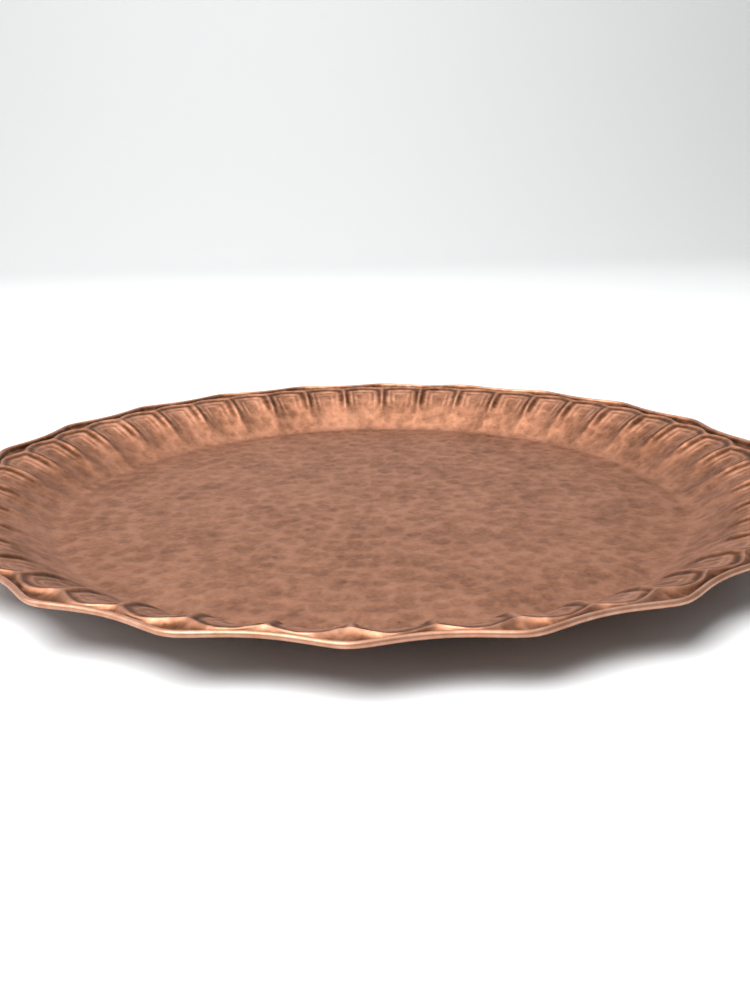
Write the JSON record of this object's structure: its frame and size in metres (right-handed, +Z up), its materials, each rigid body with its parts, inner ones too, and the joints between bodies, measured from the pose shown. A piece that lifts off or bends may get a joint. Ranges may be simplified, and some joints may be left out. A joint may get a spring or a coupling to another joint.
{
  "type": "copper tray",
  "caption": "Round shallow serving tray in hammered copper, with a scalloped border and an edge rolled over a stiffening wire.",
  "frame": {"origin": "middle of the underside, on the surface the tray stands on", "axes": "+Z up out of the tray; the points of the rim lie at every 22nd part of a turn from +X"},
  "size_m": [0.35, 0.347, 0.019],
  "materials": {
    "copper_sheet": "hammered copper, antiqued brown in the hollows, rubbed bright on the edges",
    "rim_wire": "drawn copper wire, hidden inside the rolled edge"
  },
  "bodies": {
    "root": {"tray_dish": "copper_sheet", "rim_wire": "rim_wire"}
  },
  "joints": []
}
